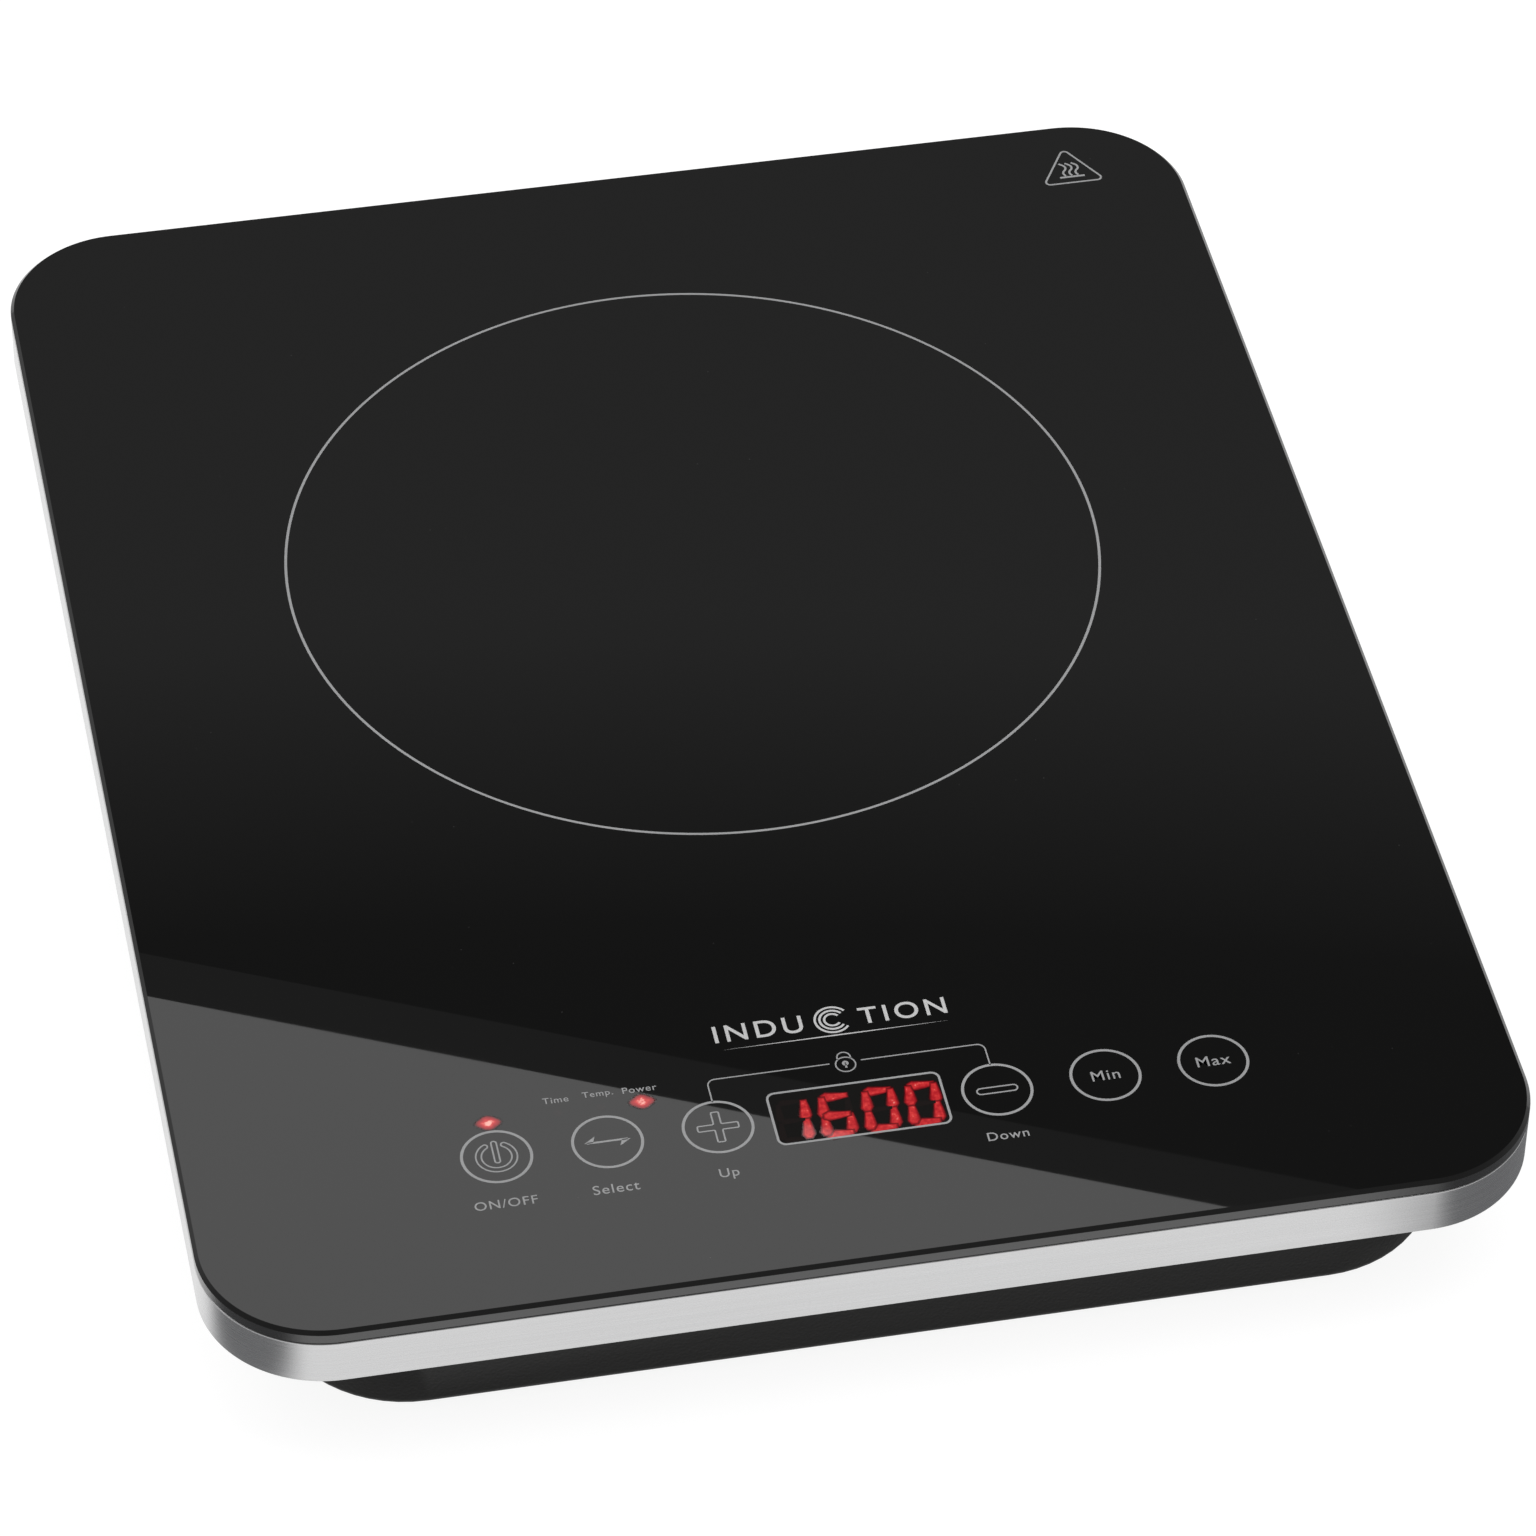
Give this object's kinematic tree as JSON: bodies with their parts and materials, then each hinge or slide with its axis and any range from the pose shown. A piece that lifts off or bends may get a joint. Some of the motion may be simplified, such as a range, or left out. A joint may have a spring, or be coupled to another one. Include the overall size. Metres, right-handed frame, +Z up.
{
  "type": "portable induction cooktop",
  "caption": "Flat portable induction cooktop: black glass plate with one cooking zone and a touch control strip, aluminium band, vented black base on rubber feet.",
  "frame": {"origin": "on the table under the middle of the glass plate's outline", "axes": "+Z up out of the glass, +Y towards the rear edge with the cord inlet, -Y towards the control strip that the cook faces, +X to the cook's right"},
  "size_m": [0.28, 0.355, 0.04],
  "materials": {
    "glass_ceramic": "polished black glass-ceramic with printed grey markings",
    "silicone": "matt silicone glue",
    "frame_plastic": "fine moulded",
    "band_aluminium": "satin anodised, brushed along its length",
    "housing_plastic": "fine spark-eroded texture",
    "label_film": "blank satin film",
    "black_screw": "black oxide",
    "black_rubber": "matt",
    "foot_rubber": "matt",
    "mica": "pressed flakes",
    "copper_litz": "varnished copper strands",
    "former_plastic": "glass-filled",
    "ferrite": "sintered, matt",
    "spring_steel": "drawn wire",
    "zinc_screw": "zinc plated",
    "sensor_ceramic": "unglazed",
    "sensor_silicone": "soft, matt",
    "sensor_wire": "glass-braid sleeve",
    "sleeve_white": "silicone sleeve",
    "fan_plastic": "semi-gloss moulded",
    "shaft_steel": "ground",
    "brass_sleeve": "sintered",
    "lamination_steel": "stacked laminations",
    "copper_wire": "enamelled",
    "board_green": "solder mask",
    "heatsink_aluminium": "extruded, mill finish",
    "epoxy_black": "moulded epoxy",
    "capacitor_yellow": "tape wrapped",
    "capacitor_blue": "epoxy box",
    "capacitor_can": "sleeved can",
    "choke_green": "coated powder core",
    "fuse_glass": "clear tube",
    "tape_yellow": "polyester tape",
    "terminal_metal": "tinned",
    "connector_white": "moulded nylon",
    "ribbon_grey": "flat ribbon",
    "display_body": "moulded with dark face",
    "led_red": "tinted epoxy lens",
    "wire_black": "heat-shrink sleeve"
  },
  "bodies": {
    "chassis": {"board_connectors": "connector_white", "bridge_rectifier": "epoxy_black", "buzzer": "epoxy_black", "choke_core": "choke_green", "choke_winding": "copper_wire", "coil_former": "former_plastic", "coil_leads": "sleeve_white", "coil_screws": "zinc_screw", "coil_springs": "spring_steel", "coil_terminals": "terminal_metal", "coil_winding": "copper_litz", "control_board": "board_green", "control_board_screws": "zinc_screw", "control_tray": "former_plastic", "cord_gland": "black_rubber", "dc_link_capacitor": "capacitor_yellow", "display_module": "display_body", "electrolytic_capacitors": "capacitor_can", "fan_bearing": "brass_sleeve", "fan_circuit_board": "board_green", "fan_frame": "fan_plastic", "fan_lead": "wire_black", "fan_screws": "zinc_screw", "fan_stator_core": "lamination_steel", "fan_windings": "copper_wire", "ferrite_bars": "ferrite", "filter_capacitor": "capacitor_yellow", "foot_front_left": "foot_rubber", "foot_front_right": "foot_rubber", "foot_rear_left": "foot_rubber", "foot_rear_right": "foot_rubber", "fuse": "fuse_glass", "glass_adhesive": "silicone", "glass_plate": "glass_ceramic", "heatsink": "heatsink_aluminium", "housing_screws": "black_screw", "indicator_leds": "led_red", "lower_housing": "housing_plastic", "mains_terminals": "terminal_metal", "mica_sheet": "mica", "microcontroller": "epoxy_black", "power_board": "board_green", "power_board_screws": "zinc_screw", "power_transistor": "epoxy_black", "rating_label": "label_film", "resonant_capacitor": "capacitor_blue", "ribbon_cable": "ribbon_grey", "sensor_holder": "sensor_silicone", "sensor_lead": "sensor_wire", "temperature_sensor": "sensor_ceramic", "touch_springs": "spring_steel", "transformer_core": "ferrite", "transformer_winding": "tape_yellow", "trim_band": "band_aluminium", "upper_frame": "frame_plastic"},
    "fan_rotor": {"fan_impeller": "fan_plastic", "fan_magnet": "ferrite", "fan_shaft": "shaft_steel"}
  },
  "joints": [
    {"name": "fan_spin", "type": "hinge", "parent": "chassis", "child": "fan_rotor", "pos_m": [-0.072, -0.066, 0.015], "axis": [0, 0, 1], "continuous": true}
  ]
}
